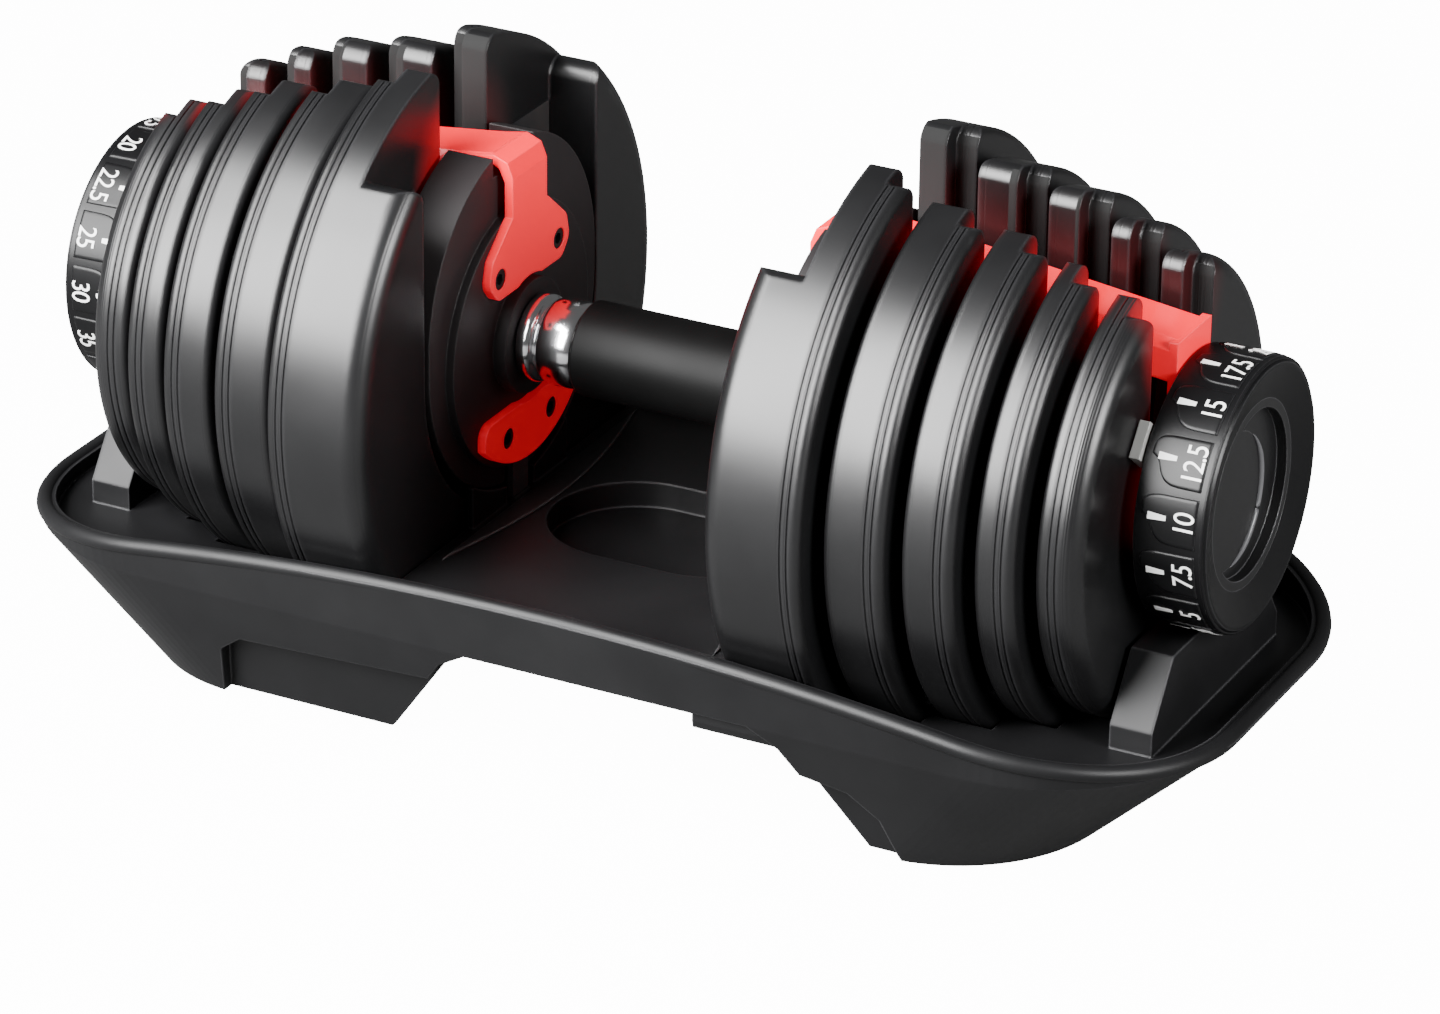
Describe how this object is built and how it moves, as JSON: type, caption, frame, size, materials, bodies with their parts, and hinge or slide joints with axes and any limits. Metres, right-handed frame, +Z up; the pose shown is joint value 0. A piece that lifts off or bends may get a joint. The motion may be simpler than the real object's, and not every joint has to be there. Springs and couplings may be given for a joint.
{
  "type": "adjustable dumbbell",
  "caption": "Selectable-weight dumbbell with plates on both sides of the grip, turning dials and lift-out storage tray.",
  "frame": {"origin": "centre of the tray on the plane it stands on", "axes": "+X along the handle, +Y across it, +Z up"},
  "size_m": [0.418, 0.194, 0.1989],
  "materials": {
    "tray_plastic": "satin",
    "foot_rubber": "matte",
    "bright_steel": "satin",
    "grip_rubber": "matte",
    "chrome_collar": "polished",
    "guard_plastic": "satin",
    "red_enamel": "gloss",
    "black_screw": "satin",
    "pointer_grey": "satin",
    "dial_cap_plastic": "satin",
    "dial_plastic": "semi-gloss",
    "selector_steel": "satin",
    "selector_nylon": "satin",
    "plate_cover": "satin",
    "plate_steel": "raw",
    "lock_nylon": "satin"
  },
  "bodies": {
    "tray": {"tray": "tray_plastic", "tray_feet": "foot_rubber"},
    "handle": {"handle_shaft": "bright_steel", "grip_tube": "bright_steel", "grip_sleeve": "grip_rubber", "ferrule_left": "chrome_collar", "ferrule_right": "chrome_collar", "inner_guard_left": "guard_plastic", "inner_guard_right": "guard_plastic", "guard_cover_left": "guard_plastic", "guard_cover_right": "guard_plastic", "bracket_left": "red_enamel", "bracket_right": "red_enamel", "lower_bracket_left": "red_enamel", "lower_bracket_right": "red_enamel", "outer_guard_left": "guard_plastic", "outer_guard_right": "guard_plastic", "pointer_left": "pointer_grey", "pointer_right": "pointer_grey", "bracket_screws": "black_screw", "end_screws": "bright_steel"},
    "dial_left": {"dial_left": "dial_plastic", "dial_cap_left": "dial_cap_plastic", "selector_tube_left": "selector_steel", "selector_disc_1_left": "selector_nylon", "selector_disc_2_left": "selector_nylon", "selector_disc_3_left": "selector_nylon", "selector_disc_4_left": "selector_nylon", "selector_disc_5_left": "selector_nylon"},
    "lock_left": {"lock_left": "lock_nylon"},
    "plate_1_left": {"plate_1_cover_left": "plate_cover", "plate_1_core_left": "plate_steel"},
    "plate_2_left": {"plate_2_cover_left": "plate_cover", "plate_2_core_left": "plate_steel"},
    "plate_3_left": {"plate_3_cover_left": "plate_cover", "plate_3_core_left": "plate_steel"},
    "plate_4_left": {"plate_4_cover_left": "plate_cover", "plate_4_core_left": "plate_steel"},
    "plate_5_left": {"plate_5_cover_left": "plate_cover", "plate_5_core_left": "plate_steel"},
    "dial_right": {"dial_right": "dial_plastic", "dial_cap_right": "dial_cap_plastic", "selector_tube_right": "selector_steel", "selector_disc_1_right": "selector_nylon", "selector_disc_2_right": "selector_nylon", "selector_disc_3_right": "selector_nylon", "selector_disc_4_right": "selector_nylon", "selector_disc_5_right": "selector_nylon"},
    "lock_right": {"lock_right": "lock_nylon"},
    "plate_1_right": {"plate_1_cover_right": "plate_cover", "plate_1_core_right": "plate_steel"},
    "plate_2_right": {"plate_2_cover_right": "plate_cover", "plate_2_core_right": "plate_steel"},
    "plate_3_right": {"plate_3_cover_right": "plate_cover", "plate_3_core_right": "plate_steel"},
    "plate_4_right": {"plate_4_cover_right": "plate_cover", "plate_4_core_right": "plate_steel"},
    "plate_5_right": {"plate_5_cover_right": "plate_cover", "plate_5_core_right": "plate_steel"}
  },
  "joints": [
    {"name": "handle_lift", "type": "slide", "parent": "tray", "child": "handle", "axis": [0, 0, 1], "range_m": [0, 0.2]},
    {"name": "dial_left_turn", "type": "hinge", "parent": "handle", "child": "dial_left", "pos_m": [0, 0, 0.108], "axis": [-1, 0, 0], "range_deg": [-72, 264]},
    {"name": "lock_left_drop", "type": "slide", "parent": "handle", "child": "lock_left", "axis": [0, 0, -1], "range_m": [0, 0.004]},
    {"name": "plate_1_left_lift", "type": "slide", "parent": "tray", "child": "plate_1_left", "axis": [0, 0, 1], "range_m": [0, 0.08]},
    {"name": "plate_2_left_lift", "type": "slide", "parent": "tray", "child": "plate_2_left", "axis": [0, 0, 1], "range_m": [0, 0.08]},
    {"name": "plate_3_left_lift", "type": "slide", "parent": "tray", "child": "plate_3_left", "axis": [0, 0, 1], "range_m": [0, 0.08]},
    {"name": "plate_4_left_lift", "type": "slide", "parent": "tray", "child": "plate_4_left", "axis": [0, 0, 1], "range_m": [0, 0.2]},
    {"name": "plate_5_left_lift", "type": "slide", "parent": "tray", "child": "plate_5_left", "axis": [0, 0, 1], "range_m": [0, 0.2]},
    {"name": "dial_right_turn", "type": "hinge", "parent": "handle", "child": "dial_right", "pos_m": [0, 0, 0.108], "axis": [1, 0, 0], "range_deg": [-72, 264]},
    {"name": "lock_right_drop", "type": "slide", "parent": "handle", "child": "lock_right", "axis": [0, 0, -1], "range_m": [0, 0.004]},
    {"name": "plate_1_right_lift", "type": "slide", "parent": "tray", "child": "plate_1_right", "axis": [0, 0, 1], "range_m": [0, 0.08]},
    {"name": "plate_2_right_lift", "type": "slide", "parent": "tray", "child": "plate_2_right", "axis": [0, 0, 1], "range_m": [0, 0.08]},
    {"name": "plate_3_right_lift", "type": "slide", "parent": "tray", "child": "plate_3_right", "axis": [0, 0, 1], "range_m": [0, 0.08]},
    {"name": "plate_4_right_lift", "type": "slide", "parent": "tray", "child": "plate_4_right", "axis": [0, 0, 1], "range_m": [0, 0.2]},
    {"name": "plate_5_right_lift", "type": "slide", "parent": "tray", "child": "plate_5_right", "axis": [0, 0, 1], "range_m": [0, 0.2]}
  ],
  "couplings": [
    {"joint": "lock_left_drop", "follows": "handle_lift", "ratio": 0.02},
    {"joint": "plate_1_left_lift", "follows": "handle_lift", "ratio": 0.4},
    {"joint": "plate_2_left_lift", "follows": "handle_lift", "ratio": 0.4},
    {"joint": "plate_3_left_lift", "follows": "handle_lift", "ratio": 0.4},
    {"joint": "plate_4_left_lift", "follows": "handle_lift", "ratio": 1},
    {"joint": "plate_5_left_lift", "follows": "handle_lift", "ratio": 1},
    {"joint": "lock_right_drop", "follows": "handle_lift", "ratio": 0.02},
    {"joint": "plate_1_right_lift", "follows": "handle_lift", "ratio": 0.4},
    {"joint": "plate_2_right_lift", "follows": "handle_lift", "ratio": 0.4},
    {"joint": "plate_3_right_lift", "follows": "handle_lift", "ratio": 0.4},
    {"joint": "plate_4_right_lift", "follows": "handle_lift", "ratio": 1},
    {"joint": "plate_5_right_lift", "follows": "handle_lift", "ratio": 1}
  ]
}
